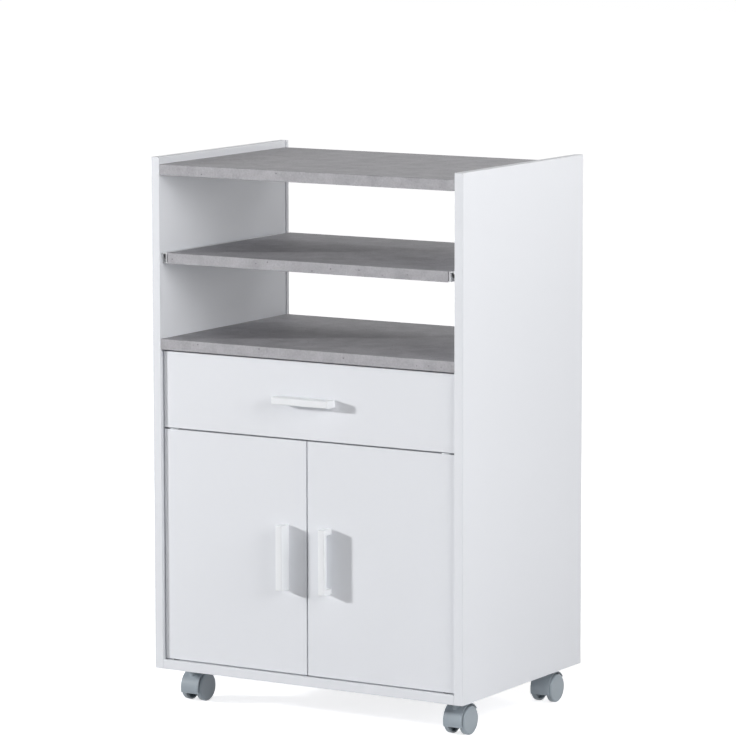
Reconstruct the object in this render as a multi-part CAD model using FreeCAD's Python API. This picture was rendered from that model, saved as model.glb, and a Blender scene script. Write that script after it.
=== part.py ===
import FreeCAD, Part
import math
import os

# Microwave cart: a white cabinet with two doors and a drawer below three grey
# shelves, of which the middle one pulls out. It rolls on four twin-wheel casters.
# Millimetres. X runs to the right, Y to the back, Z up. The origin lies on the
# floor, in the middle of the box round the whole cart, handles included.

V = FreeCAD.Vector

# ---- carcass ----
carcass_width = 595.0
carcass_depth = 400.0
panel_height = 860.0
caster_height = 62.0  # floor to the panels' lower ends
board = 16.0  # white boards
shelf_board = 18.0  # grey boards
edge_radius = 1.0  # rounding of a banded board edge
past = 1.0  # how far a cutting shape runs past the face it opens
face_gap = 0.3  # between moving faces that must not rub
fit_gap = 0.05  # radial clearance of pins, screws and dowels in their holes
lower_shelf_height = 540.0  # panel's lower end to the fixed shelf's underside
lower_bay_height = 126.0  # clear height below the pull-out shelf
top_shelf_drop = 11.5  # from the panels' upper ends down to the top shelf
rail_depth = 70.0
rail_gap = 1.5  # from the doors' backs to the rail

# ---- back panel and its grooves ----
back_thickness = 3.0
groove_slack = 0.2
groove_depth = 8.0
back_setback = 8.0  # land left behind the groove
back_end_gap = 0.5  # from the back panel's edge to the groove's bottom

# ---- fronts ----
front_recess = 6.0  # from the panels' front edges back to the doors
door_side_gap = 2.2
front_gap = 2.4  # between the doors, and between the drawer and the doors
door_floor_gap = 1.7
drawer_top_gap = 2.7
drawer_front_height = 128.0

# ---- door pivots ----
pivot_inset = 18.0  # from the door's side edge to its axis
pivot_pin_radius = 3.0
pivot_pin_depth = 11.0
pivot_bush_radius = 5.0
pivot_bush_length = 13.0
pivot_flange_radius = 7.0
pivot_plate_thickness = 1.2
pivot_plate_gap = 0.4  # above the door's top edge
pivot_plate_width = 20.0
pivot_plate_reach = 39.0  # under the rail
pivot_screw_rows = (15.0, 31.0)  # behind the rail's front, clear of the turning door
pivot_spigot_radius = 2.0
pivot_foot_cover = 4.0  # board left below the foot pin

# ---- handles ----
handle_length = 108.0
handle_width = 12.0
handle_projection = 23.0
handle_bar = 6.0  # thickness of the front bar
handle_wall = 2.5
handle_leg = 9.0
handle_rounding = 1.8
handle_hole_spacing = 96.0
handle_centre = 41.0  # from the cart's middle to a door handle's axis
handle_screw_radius = 2.0
handle_screw_reach = 12.0  # into the handle's leg
handle_screw_head_radius = 4.0
handle_screw_head_height = 2.2
handle_hole_gap = 0.3

# ---- pull-out shelf and roller runners ----
shelf_recess = 3.0
shelf_rear_margin = 30.0  # how far the pull-out shelf runs on behind its runners
runner_gap = 13.0  # from a panel to the shelf's or the drawer's side
member_gap = 11.0  # from a panel to the far face of the moving member's web
member_boss_radius = 5.0  # dimple at each screw that keeps the web off the side
runner_length = 350.0
runner_sheet = 1.2
runner_height = 17.0
runner_bend_radius = 0.8
runner_flange = 8.5  # how far the fixed channel reaches in from the panel
channel_drop = 1.5  # fixed channel's bottom below the moving member's
channel_height = 13.5
channel_nose = 15.0  # length at the front with no flanges, where the roller sits
lip_height = 3.8
lip_thickness = 1.0
lip_gap = 0.4  # from the lip down to the channel's nose
lip_offset = 1.8  # from the panel to the moving member's lip
roller_radius = 5.0
roller_width = 4.5
roller_offset = 3.4  # from the panel to a roller's face
roller_rounding = 0.4
roller_setback = 7.0  # from a member's end to its roller's axis
rivet_radius = 1.5
rivet_head = 2.4
rivet_head_height = 0.7
rolling_gap = 0.05
channel_screw_margin = 42.0  # from either end of the fixed channel
member_screw_front = 28.0
member_screw_rear = 63.0
shelf_runner_setback = 6.0  # fixed channel behind the panels' front edges
drawer_runner_setback = 26.0
runner_lift = 0.5  # moving member's bottom above the shelf's underside
drawer_runner_gap = 0.5  # from the drawer front's back to the moving member

# ---- drawer box ----
drawer_rail_clearance = 5.5
drawer_side_height = 88.0
drawer_side_thickness = 12.0
drawer_bottom_thickness = 3.0
drawer_bottom_lift = 12.0
drawer_groove_depth = 6.0
drawer_dowel_radius = 3.0
drawer_dowel_front = 10.0  # into the front
drawer_dowel_side = 16.0  # into the side's end
drawer_joint_heights = (31.0, 66.0)  # dowels and corner screws above the box's lower edge
corner_screw_reach = 16.0  # into the back's end
hole_end_gap = 0.5  # beyond a dowel's end

# ---- board fittings ----
fitting_setback = 96.0  # first cam from a board's front or rear edge
fitting_pitch = 32.0  # cam to dowel
rail_cam_setback = 23.0
cam_distance = 34.0  # cam's axis from the board's end
cam_radius = 7.5
cam_depth = 12.4
cam_slot = 1.6
cam_slot_reach = 5.2
bolt_radius = 3.0
bolt_thread_radius = 2.5
bolt_thread_length = 11.0
bolt_bore_radius = 4.0
dowel_radius = 4.0
dowel_length = 30.0
dowel_panel_depth = 10.0

# ---- screws ----
screw_radius = 1.75
screw_head_radius = 3.2
screw_head_height = 0.8
screw_length = 12.0
back_screw_columns = (-210.0, -70.0, 70.0, 210.0)

# ---- magnetic catch ----
catch_width = 46.0
catch_depth = 14.0
catch_height = 13.0
catch_rounding = 0.8
catch_screw_offset = 17.5  # from the cart's middle
catch_screw_setback = 8.4
catch_floor = 3.0  # between the rail and the screws' heads
catch_well_gap = 0.3
strike_width = 16.0
strike_height = 11.0
strike_thickness = 1.2
strike_offset = 12.0  # from the cart's middle

# ---- casters ----
caster_side_inset = 42.0  # from the panel's outer face to the swivel axis
caster_end_inset = 54.0  # from the carcass's front or rear to the swivel axis
caster_trail = 13.5
wheel_radius = 24.0
wheel_width = 9.5
wheel_rim_radius = 3.0
wheel_rim_rounding = 0.8  # inner edge
wheel_wall = 2.5  # closed outer face
wheel_rim_wall = 3.0
wheel_hub_radius = 7.0
caster_half_width = 20.0
axle_radius = 3.0
running_gap = 0.05
hood_gap = 2.6
hood_wall = 1.7
hood_half_width = 17.3
hood_front_angle = 108.0  # from the top down the front, degrees
hood_rear_angle = 55.0
hood_web_half_width = 9.6
hood_web_front_angle = 88.0
hood_web_rear_angle = 47.0
hood_edge_rounding = 0.5
hood_hub_radius = 8.0
hood_socket_radius = 7.5
hood_socket_floor = 2.0  # below the king pin's space
king_pin_radius = 4.0
king_pin_end = 30.0  # height of its lower end
king_end_gap = 1.0
king_spigot_radius = 3.0
king_collar_radius = 8.0
king_collar_height = 2.7
plate_size = 42.0
plate_thickness = 2.0
plate_corner = 4.0
plate_hole_pitch = 31.0

# ---- places that follow ----
handle_overhang = handle_projection - front_recess
front_y = (handle_overhang - carcass_depth) / 2.0
rear_y = front_y + carcass_depth
outer_x = carcass_width / 2.0
inner_x = outer_x - board
panel_z = caster_height
panel_top = panel_z + panel_height
groove_rear = rear_y - back_setback
groove_front = groove_rear - back_thickness - groove_slack
board_rear = groove_front  # fixed boards end where the back panel passes

base_top = panel_z + board
lower_shelf_z = panel_z + lower_shelf_height
lower_shelf_top = lower_shelf_z + shelf_board
pull_shelf_z = lower_shelf_top + lower_bay_height
pull_shelf_top = pull_shelf_z + shelf_board
top_shelf_z = panel_top - top_shelf_drop - shelf_board

leaf_front = front_y + front_recess  # front faces of the doors and the drawer
leaf_back = leaf_front + board
drawer_front_top = lower_shelf_z - drawer_top_gap
drawer_front_z = drawer_front_top - drawer_front_height
door_top = drawer_front_z - front_gap
door_z = base_top + door_floor_gap
door_mid_z = (door_z + door_top) / 2.0
door_outer_x = inner_x - door_side_gap
door_inner_x = front_gap / 2.0
pivot_x = door_outer_x - pivot_inset
pivot_y = leaf_front + board / 2.0

rail_z = door_top + pivot_plate_gap + pivot_plate_thickness
rail_front = leaf_back + rail_gap
rail_rear = rail_front + rail_depth

box_half_width = inner_x - runner_gap
drawer_box_z = rail_z + board + drawer_rail_clearance
drawer_box_top = drawer_box_z + drawer_side_height
drawer_box_rear = leaf_back + drawer_runner_gap + runner_length
shelf_depth = runner_length + shelf_rear_margin
drawer_mid_z = (drawer_front_z + drawer_front_top) / 2.0

stem_x = outer_x - caster_side_inset
hood_inner_radius = wheel_radius + hood_gap
hood_radius = hood_inner_radius + hood_wall
plate_z = panel_z - plate_thickness
king_collar_z = plate_z - king_collar_height
hood_collar_top = king_collar_z - face_gap

nodes = {}


# ---- plain shapes ----
def box(x0, x1, y0, y1, z0, z1):
    """A block between two corners, given in any order."""
    low = V(min(x0, x1), min(y0, y1), min(z0, z1))
    return Part.makeBox(abs(x1 - x0), abs(y1 - y0), abs(z1 - z0), low)


def rod(radius, start, end):
    """A round bar from one point to another."""
    return Part.makeCylinder(radius, (end - start).Length, start, end - start)


def soft_box(x0, x1, y0, y1, z0, z1, radius=edge_radius):
    """A board with every edge rounded."""
    plain = box(x0, x1, y0, y1, z0, z1)
    return plain.makeFillet(radius, plain.Edges)


def cut(shape, tools):
    """The shape less a list of tools."""
    return shape.cut(Part.makeCompound(tools)) if tools else shape


def join(shapes):
    """One solid out of shapes that meet."""
    return shapes[0].fuse(shapes[1:]).removeSplitter()


def mirrored(shape):
    """The same piece on the cart's other side."""
    return shape.mirror(V(0, 0, 0), V(1, 0, 0))


def both_sides(shapes):
    """A list of right-hand pieces with their left-hand twins."""
    return [mirrored(shape) for shape in shapes] + list(shapes)


def keep(name, shapes):
    """Store one node: a solid, or a group of separate solids."""
    solids = [solid for shape in shapes for solid in shape.Solids]
    nodes[name] = solids[0] if len(solids) == 1 else Part.makeCompound(solids)


# ---- screws ----
def screw(seat, direction, length=screw_length, radius=screw_radius,
          head_radius=screw_head_radius, head_height=screw_head_height):
    """A pan-head screw whose head sits on the seat and whose shank runs along direction."""
    unit = V(direction).normalize()
    shank = rod(radius, seat - unit * head_height / 2.0, seat + unit * length)
    head = rod(head_radius, seat - unit * head_height, seat)
    return join([head, shank])


def screw_hole(seat, direction, length=screw_length, radius=screw_radius):
    """The hole that a screw of the same seat needs, from before its seat to past its tip."""
    unit = V(direction).normalize()
    return rod(radius + fit_gap, seat - unit * past, seat + unit * (length + fit_gap))


# ---- fixed boards and their cam fittings ----
# lower face, thickness, front, rear, and distance from the front to the first cam
fixed_boards = {
    "base_panel": (panel_z, board, front_y, board_rear, fitting_setback),
    "lower_shelf": (lower_shelf_z, shelf_board, front_y, board_rear, fitting_setback),
    "top_shelf": (top_shelf_z, shelf_board, front_y, board_rear, fitting_setback),
    "front_rail": (rail_z, board, rail_front, rail_rear, rail_cam_setback),
}


def fitting_rows(y0, y1, setback):
    """Where along a board's end its cams and dowels sit; a narrow board has one of each."""
    cams, dowels = [y0 + setback], [y0 + setback + fitting_pitch]
    if y1 - y0 > 2 * (setback + fitting_pitch):
        cams.append(y1 - setback)
        dowels.append(y1 - setback - fitting_pitch)
    return cams, dowels


def cam_bolt(y, z):
    """A steel bolt from the right panel into a cam in the board's end."""
    thread_end = V(inner_x + bolt_thread_length, y, z)
    seat = V(inner_x, y, z)
    head = V(inner_x - cam_distance, y, z)
    return join([rod(bolt_thread_radius, seat, thread_end), rod(bolt_radius, head, seat)])


def cam_lock(y, z0, z):
    """A round cam let into the board's underside, open towards the bolt, cross slot below."""
    centre = V(inner_x - cam_distance, y, z0)
    body = rod(cam_radius - fit_gap, centre, centre + V(0, 0, cam_depth - fit_gap))
    tunnel = rod(bolt_radius + fit_gap, V(centre.x - bolt_radius, y, z), V(inner_x, y, z))
    reach, width = cam_slot_reach, cam_slot / 2.0
    slots = [box(centre.x - along, centre.x + along, y - across, y + across,
                 z0 - past, z0 + cam_slot)
             for along, across in ((reach, width), (width, reach))]
    return cut(body, [tunnel] + slots)


def make_fittings():
    """Cam bolts, cam locks and dowels of every fixed board, and the holes they need."""
    bolts, locks, dowels, panel_holes = [], [], [], []
    board_holes = {name: [] for name in fixed_boards}
    for name, (z0, thickness, y0, y1, setback) in fixed_boards.items():
        z = z0 + thickness / 2.0
        cams, dowel_rows = fitting_rows(y0, y1, setback)
        for y in cams:
            bolts.append(cam_bolt(y, z))
            locks.append(cam_lock(y, z0, z))
            panel_holes.append(rod(bolt_thread_radius + fit_gap, V(inner_x - past, y, z),
                                   V(inner_x + bolt_thread_length + fit_gap, y, z)))
            centre = V(inner_x - cam_distance, y, z0 - past)
            board_holes[name] += [
                rod(cam_radius, centre, centre + V(0, 0, past + cam_depth)),
                rod(bolt_bore_radius, V(centre.x, y, z), V(inner_x + past, y, z))]
        for y in dowel_rows:
            start = V(inner_x - dowel_length + dowel_panel_depth, y, z)
            end = V(inner_x + dowel_panel_depth, y, z)
            dowels.append(rod(dowel_radius - fit_gap, start, end))
            spare = V(hole_end_gap, 0, 0)
            panel_holes.append(rod(dowel_radius, V(inner_x - past, y, z), end + spare))
            board_holes[name].append(rod(dowel_radius, start - spare, V(inner_x + past, y, z)))
    keep("cam_bolts", both_sides(bolts))
    keep("cam_locks", both_sides(locks))
    keep("dowels", both_sides(dowels))
    return panel_holes, board_holes


# ---- roller runners: the right-hand one, from the panel in to the moving side ----
def runner_x(offset):
    """X of a point that lies this far in from the right panel's inner face."""
    return inner_x - offset


def roller(y, z):
    """A nylon roller with its bore."""
    near, far = runner_x(roller_offset), runner_x(roller_offset + roller_width)
    wheel = rod(roller_radius, V(far, y, z), V(near, y, z))
    wheel = wheel.makeFillet(roller_rounding, [e for e in wheel.Edges if len(e.Vertexes) == 1])
    return cut(wheel, [rod(rivet_radius + running_gap, V(far - past, y, z), V(near + past, y, z))])


def fixed_channel(z0, y0, screws_y):
    """The channel on the panel, with its front roller's rivet, for a runner at height z0."""
    y1 = y0 + runner_length
    bottom = z0 - channel_drop
    top = bottom + channel_height
    web = box(runner_x(0), runner_x(runner_sheet), y0, y1, bottom, top)
    nose = box(runner_x(0), runner_x(runner_sheet), y0, y0 + channel_nose, bottom,
               z0 + runner_height - lip_height - lip_gap)
    flanges = [box(runner_x(0), runner_x(runner_flange), y0 + channel_nose, y1, z, z + runner_sheet)
               for z in (bottom, top - runner_sheet)]
    axis = V(0, y0 + roller_setback, front_roller_z(z0))
    tip = roller_offset + roller_width + running_gap
    rivet = join([rod(rivet_radius, axis + V(runner_x(tip + rivet_head_height), 0, 0),
                      axis + V(runner_x(0), 0, 0)),
                  rod(rivet_head, axis + V(runner_x(tip + rivet_head_height), 0, 0),
                      axis + V(runner_x(tip), 0, 0))])
    holes = [rod(rivet_radius, axis + V(runner_x(runner_sheet + past), 0, 0),
                 axis + V(runner_x(-past), 0, 0))]
    holes += [screw_hole(V(runner_x(runner_sheet), y, channel_screw_z(z0)), V(1, 0, 0))
              for y in screws_y]
    return cut(join([web, nose] + flanges), holes), rivet


def front_roller_z(z0):
    """Axis height of the fixed roller, just under the moving member's flange."""
    return z0 + runner_height - runner_sheet - rolling_gap - roller_radius


def rear_roller_z(z0):
    """Axis height of the moving roller, just above the channel's lower flange."""
    return z0 - channel_drop + runner_sheet + rolling_gap + roller_radius


def channel_screw_z(z0):
    """Height of the screws through the fixed channel's web."""
    return z0 - channel_drop + channel_height / 2.0


def moving_member(z0, y0, screws_y):
    """The member on the moving side: web, foot, bosses, top flange, lip, and a rivet."""
    y1 = y0 + runner_length
    top = z0 + runner_height
    web = box(runner_x(member_gap), runner_x(member_gap - runner_sheet), y0, y1, z0, top)
    foot = box(runner_x(runner_gap), runner_x(member_gap), y0, y1, z0, z0 + runner_sheet)
    flange = box(runner_x(member_gap), runner_x(lip_offset), y0, y1, top - runner_sheet, top)
    lip = box(runner_x(lip_offset + lip_thickness), runner_x(lip_offset), y0, y1,
              top - lip_height, top)
    bosses = [rod(member_boss_radius, V(runner_x(runner_gap), y, z0 + runner_height / 2.0),
                  V(runner_x(member_gap), y, z0 + runner_height / 2.0)) for y in screws_y]
    profile = join([web, foot, flange, lip] + bosses)
    corner = [e for e in profile.Edges if abs(e.Length - runner_length) < 0.01
              and abs(e.BoundBox.ZMin - top) < 0.01 and abs(e.BoundBox.ZMax - top) < 0.01]
    profile = profile.makeFillet(runner_bend_radius, corner)
    axis = V(0, y1 - roller_setback, rear_roller_z(z0))
    tip = roller_offset - running_gap
    rivet = join([rod(rivet_radius, axis + V(runner_x(member_gap), 0, 0),
                      axis + V(runner_x(tip - rivet_head_height), 0, 0)),
                  rod(rivet_head, axis + V(runner_x(tip), 0, 0),
                      axis + V(runner_x(tip - rivet_head_height), 0, 0))])
    holes = [rod(rivet_radius, axis + V(runner_x(member_gap + past), 0, 0),
                 axis + V(runner_x(member_gap - runner_sheet - past), 0, 0))]
    holes += [screw_hole(V(runner_x(member_gap - runner_sheet), y, z0 + runner_height / 2.0),
                         V(-1, 0, 0)) for y in screws_y]
    return cut(profile, holes), rivet


def three_rows(first, last):
    """Both ends of a row and its middle."""
    return [first, (first + last) / 2.0, last]


def make_runner_pair(prefix, z0, fixed_y, moving_y):
    """Both runners of the shelf or the drawer. Returns screws and holes for each side."""
    fixed_rows = three_rows(fixed_y + channel_screw_margin,
                            fixed_y + runner_length - channel_screw_margin)
    moving_rows = three_rows(moving_y + member_screw_front,
                             moving_y + runner_length - member_screw_rear)
    channel, front_rivet = fixed_channel(z0, fixed_y, fixed_rows)
    member, rear_rivet = moving_member(z0, moving_y, moving_rows)
    keep(prefix + "_fixed_runners", both_sides([channel, front_rivet]))
    keep(prefix + "_moving_runners", both_sides([member, rear_rivet]))
    front_roller = roller(fixed_y + roller_setback, front_roller_z(z0))
    rear_roller = roller(moving_y + runner_length - roller_setback, rear_roller_z(z0))
    keep(prefix + "_front_rollers", both_sides([front_roller]))
    keep(prefix + "_rear_rollers", both_sides([rear_roller]))
    into_panel = [(V(runner_x(runner_sheet), y, channel_screw_z(z0)), V(1, 0, 0))
                  for y in fixed_rows]
    into_box = [(V(runner_x(member_gap - runner_sheet), y, z0 + runner_height / 2.0), V(-1, 0, 0))
                for y in moving_rows]
    return into_panel, into_box


def screws_at(seats):
    """A screw at each seat."""
    return [screw(seat, direction) for seat, direction in seats]


def holes_at(seats):
    """A screw hole at each seat."""
    return [screw_hole(seat, direction) for seat, direction in seats]


# ---- handle ----
def handle():
    """A handle along X on a face at y = 0: bar, one closed wall on top, two legs."""
    half, reach = handle_length / 2.0, handle_width / 2.0
    bar = box(-half, half, -handle_projection, -handle_projection + handle_bar, -reach, reach)
    wall = box(-half, half, -handle_projection, 0, reach - handle_wall, reach)
    legs = [box(side * half, side * (half - handle_leg), -handle_projection, 0, -reach, reach)
            for side in (-1, 1)]
    body = join([bar, wall] + legs)
    face = [e for e in body.Edges if e.BoundBox.YMax < -handle_projection + 0.01]
    body = body.makeFillet(handle_rounding, face)
    corner_y = handle_bar - handle_projection
    inner = [e for e in body.Edges
             if abs(abs(e.BoundBox.Center.x) - (half - handle_leg)) < 0.01
             and abs(e.BoundBox.Center.y - corner_y) < 0.01]
    body = body.makeFillet(handle_rounding, inner)
    holes = [rod(handle_screw_radius + fit_gap, V(x, past, 0),
                 V(x, -handle_screw_reach - hole_end_gap, 0))
             for x in (-handle_hole_spacing / 2.0, handle_hole_spacing / 2.0)]
    return cut(body, holes)


def handle_seats(centre, along):
    """Where the two handle screws pass, measured along the handle from its centre."""
    return [centre + along * (side * handle_hole_spacing / 2.0) for side in (-1, 1)]


def handle_screws(seats):
    """Machine screws from a board's back face into the handle's legs."""
    return [screw(V(seat.x, leaf_back, seat.z), V(0, -1, 0), board + handle_screw_reach,
                  handle_screw_radius, handle_screw_head_radius, handle_screw_head_height)
            for seat in seats]


def handle_holes(seats):
    """Clearance holes for the handle screws through the board."""
    return [rod(handle_screw_radius + handle_hole_gap, V(seat.x, leaf_front - past, seat.z),
                V(seat.x, leaf_back + past, seat.z)) for seat in seats]


# ---- carcass ----
def make_carcass(panel_holes, board_holes, panel_seats, base_holes, rail_holes):
    """Side panels, fixed boards and back panel."""
    panel = soft_box(inner_x, outer_x, front_y, rear_y, panel_z, panel_top)
    groove = box(inner_x - past, inner_x + groove_depth, groove_front, groove_rear,
                 panel_z - past, panel_top + past)
    panel = cut(panel, [groove] + panel_holes + holes_at(panel_seats))
    keep("right_side_panel", [panel])
    keep("left_side_panel", [mirrored(panel)])
    back_x = inner_x + groove_depth - back_end_gap
    back_y = groove_front + groove_slack / 2.0
    back = box(-back_x, back_x, back_y, back_y + back_thickness, panel_z, lower_shelf_top)
    back_seats = [(V(x, back_y + back_thickness, z0 + thickness / 2.0), V(0, -1, 0))
                  for x in back_screw_columns
                  for z0, thickness in ((panel_z, board), (lower_shelf_z, shelf_board))]
    keep("back_panel", [cut(back, holes_at(back_seats))])
    extra = {"base_panel": base_holes + holes_at(back_seats),
             "lower_shelf": holes_at(back_seats),
             "top_shelf": [],
             "front_rail": rail_holes}
    for name, (z0, thickness, y0, y1, setback) in fixed_boards.items():
        plank = soft_box(-inner_x, inner_x, y0, y1, z0, z0 + thickness)
        keep(name, [cut(plank, both_sides(board_holes[name]) + extra[name])])
    return screws_at(back_seats)


# ---- doors ----
def door_bush(z, up):
    """A flanged nylon bush let into the door's top or bottom edge, with its pin's bore."""
    way = V(0, 0, 1 if up else -1)
    edge = V(pivot_x, pivot_y, z)
    body = rod(pivot_bush_radius, edge - way * pivot_bush_length, edge)
    if not up:
        flange_end = edge + way * (door_floor_gap - face_gap)
        body = join([body, rod(pivot_flange_radius, edge, flange_end)])
    return cut(body, [rod(pivot_pin_radius + running_gap,
                          edge - way * (pivot_pin_depth + hole_end_gap),
                          edge + way * (door_floor_gap + past))])


def make_pivots():
    """Pivot plates under the rail and the four pins. Returns holes and screws."""
    plate_z0 = rail_z - pivot_plate_thickness
    half = pivot_plate_width / 2.0
    plate = join([box(pivot_x - half, pivot_x + half, pivot_y, rail_front + pivot_plate_reach,
                      plate_z0, rail_z),
                  rod(half, V(pivot_x, pivot_y, plate_z0), V(pivot_x, pivot_y, rail_z))])
    seats = [(V(pivot_x, rail_front + y, plate_z0), V(0, 0, 1)) for y in pivot_screw_rows]
    spigot_hole = rod(pivot_spigot_radius + fit_gap, V(pivot_x, pivot_y, plate_z0 - past),
                      V(pivot_x, pivot_y, rail_z + past))
    keep("door_pivot_plates", both_sides([cut(plate, holes_at(seats) + [spigot_hole])]))
    top_pin = join([rod(pivot_pin_radius, V(pivot_x, pivot_y, door_top - pivot_pin_depth),
                        V(pivot_x, pivot_y, plate_z0)),
                    rod(pivot_spigot_radius, V(pivot_x, pivot_y, plate_z0),
                        V(pivot_x, pivot_y, rail_z))])
    foot_z = panel_z + pivot_foot_cover
    foot_pin = rod(pivot_pin_radius, V(pivot_x, pivot_y, foot_z),
                   V(pivot_x, pivot_y, door_z + pivot_pin_depth))
    keep("door_pivot_pins", both_sides([top_pin, foot_pin]))
    foot_hole = rod(pivot_pin_radius + fit_gap, V(pivot_x, pivot_y, foot_z - fit_gap),
                    V(pivot_x, pivot_y, base_top + past))
    return both_sides([foot_hole]), both_sides(holes_at(seats)), both_sides(screws_at(seats))


def make_door(name, side):
    """One door with its handle, screws, bushes and strike plate. side is +1 on the right."""
    leaf = soft_box(door_inner_x, door_outer_x, leaf_front, leaf_back, door_z, door_top)
    bushes = [door_bush(door_top, True), door_bush(door_z, False)]
    pockets = [rod(pivot_bush_radius + fit_gap, V(pivot_x, pivot_y, door_top + past),
                   V(pivot_x, pivot_y, door_top - pivot_bush_length - fit_gap)),
               rod(pivot_bush_radius + fit_gap, V(pivot_x, pivot_y, door_z - past),
                   V(pivot_x, pivot_y, door_z + pivot_bush_length + fit_gap))]
    centre = V(handle_centre, leaf_front, door_mid_z)
    seats = handle_seats(centre, V(0, 0, 1))
    grip = handle()
    grip.rotate(V(0, 0, 0), V(0, 1, 0), -90)
    grip.translate(centre)
    strike_z = rail_z - catch_height / 2.0
    strike = box(strike_offset - strike_width / 2, strike_offset + strike_width / 2, leaf_back,
                 leaf_back + strike_thickness, strike_z - strike_height / 2,
                 min(strike_z + strike_height / 2, door_top))
    pieces = {name: [cut(leaf, pockets + handle_holes(seats))],
              name + "_handle": [grip],
              name + "_handle_screws": handle_screws(seats),
              name + "_pivot_bushes": bushes,
              name + "_strike_plate": [strike]}
    for piece, shapes in pieces.items():
        keep(piece, shapes if side > 0 else [mirrored(shape) for shape in shapes])


def make_catch():
    """The double magnetic catch under the rail. Returns its screws' holes and the screws."""
    y0 = leaf_back + strike_thickness + face_gap
    body = soft_box(-catch_width / 2, catch_width / 2, y0, y0 + catch_depth,
                    rail_z - catch_height, rail_z, catch_rounding)
    seats = [(V(side * catch_screw_offset, y0 + catch_screw_setback, rail_z - catch_floor),
              V(0, 0, 1)) for side in (-1, 1)]
    wells = [rod(screw_head_radius + catch_well_gap, seat - V(0, 0, catch_height), seat)
             for seat, direction in seats]
    keep("magnetic_catch", [cut(body, wells + holes_at(seats))])
    return holes_at(seats), screws_at(seats)


# ---- pull-out shelf ----
def make_pull_out_shelf():
    """The sliding board with its runners. Returns the seats of the screws in the panel."""
    into_panel, into_box = make_runner_pair("shelf", pull_shelf_z + runner_lift,
                                            front_y + shelf_runner_setback,
                                            front_y + shelf_recess)
    plank = soft_box(-box_half_width, box_half_width, front_y + shelf_recess,
                     front_y + shelf_recess + shelf_depth, pull_shelf_z, pull_shelf_top)
    keep("pull_out_shelf", [cut(plank, both_sides(holes_at(into_box)))])
    keep("shelf_runner_screws", both_sides(screws_at(into_box)))
    return into_panel


# ---- drawer ----
def make_drawer():
    """The drawer with its runners and handle. Returns the seats of the screws in the panel."""
    into_panel, into_box = make_runner_pair("drawer", drawer_box_z,
                                            front_y + drawer_runner_setback,
                                            leaf_back + drawer_runner_gap)
    inner_face = box_half_width - drawer_side_thickness
    mid_x = (box_half_width + inner_face) / 2.0
    back_front = drawer_box_rear - drawer_side_thickness
    slot_z = drawer_box_z + drawer_bottom_lift
    slot_height = drawer_bottom_thickness + groove_slack
    slot = box(-inner_face - drawer_groove_depth, inner_face + drawer_groove_depth,
               leaf_back - drawer_groove_depth, back_front + drawer_groove_depth,
               slot_z, slot_z + slot_height)
    inset = drawer_groove_depth - back_end_gap
    bottom = box(-inner_face - inset, inner_face + inset, leaf_back - inset, back_front + inset,
                 slot_z + groove_slack / 2, slot_z + groove_slack / 2 + drawer_bottom_thickness)
    keep("drawer_bottom", [bottom])

    joint_rows = [drawer_box_z + height for height in drawer_joint_heights]
    dowel_front, dowel_end = leaf_back - drawer_dowel_front, leaf_back + drawer_dowel_side
    dowels = [rod(drawer_dowel_radius - fit_gap, V(mid_x, dowel_front, z),
                  V(mid_x, dowel_end, z)) for z in joint_rows]
    dowel_holes = [rod(drawer_dowel_radius, V(mid_x, dowel_front - hole_end_gap, z),
                       V(mid_x, dowel_end + hole_end_gap, z)) for z in joint_rows]
    keep("drawer_dowels", both_sides(dowels))

    corner = [(V(box_half_width, (back_front + drawer_box_rear) / 2.0, z), V(-1, 0, 0))
              for z in joint_rows]
    corner_length = drawer_side_thickness + corner_screw_reach
    corner_holes = [screw_hole(seat, way, corner_length) for seat, way in corner]
    side = box(inner_face, box_half_width, leaf_back, drawer_box_rear, drawer_box_z, drawer_box_top)
    side = cut(side, [slot] + dowel_holes + corner_holes + holes_at(into_box))
    keep("drawer_side_right", [side])
    keep("drawer_side_left", [mirrored(side)])
    back = box(-inner_face, inner_face, back_front, drawer_box_rear, drawer_box_z, drawer_box_top)
    keep("drawer_back", [cut(back, [slot] + both_sides(corner_holes))])

    seats = handle_seats(V(0, leaf_front, drawer_mid_z), V(1, 0, 0))
    front = soft_box(-door_outer_x, door_outer_x, leaf_front, leaf_back,
                     drawer_front_z, drawer_front_top)
    keep("drawer_front", [cut(front, [slot] + both_sides(dowel_holes) + handle_holes(seats))])
    grip = handle()
    grip.translate(V(0, leaf_front, drawer_mid_z))
    keep("drawer_handle", [grip])
    keep("drawer_screws", both_sides(screws_at(into_box)
                                     + [screw(seat, way, corner_length) for seat, way in corner])
         + handle_screws(seats))
    return into_panel


# ---- casters ----
def rims_at(disc, x):
    """The round edges of a disc in the plane at this x."""
    return [e for e in disc.Edges if len(e.Vertexes) == 1
            and abs(e.BoundBox.XMin - x) < 0.01 and abs(e.BoundBox.XMax - x) < 0.01]


def wheel(side, y):
    """One wheel of a caster at x = 0: a cup with a closed, rounded outer face and a hub."""
    inner, outer = caster_half_width - wheel_width, caster_half_width
    disc = rod(wheel_radius, V(inner, y, wheel_radius), V(outer, y, wheel_radius))
    disc = disc.makeFillet(wheel_rim_radius, rims_at(disc, outer))
    disc = disc.makeFillet(wheel_rim_rounding, rims_at(disc, inner))
    start, floor = V(inner - past, y, wheel_radius), V(outer - wheel_wall, y, wheel_radius)
    hollow = rod(wheel_radius - wheel_rim_wall, start, floor).cut(
        rod(wheel_hub_radius, start, floor))
    bore = rod(axle_radius + running_gap, start, floor)
    disc = cut(disc, [hollow, bore])
    return disc if side > 0 else mirrored(disc)


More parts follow.
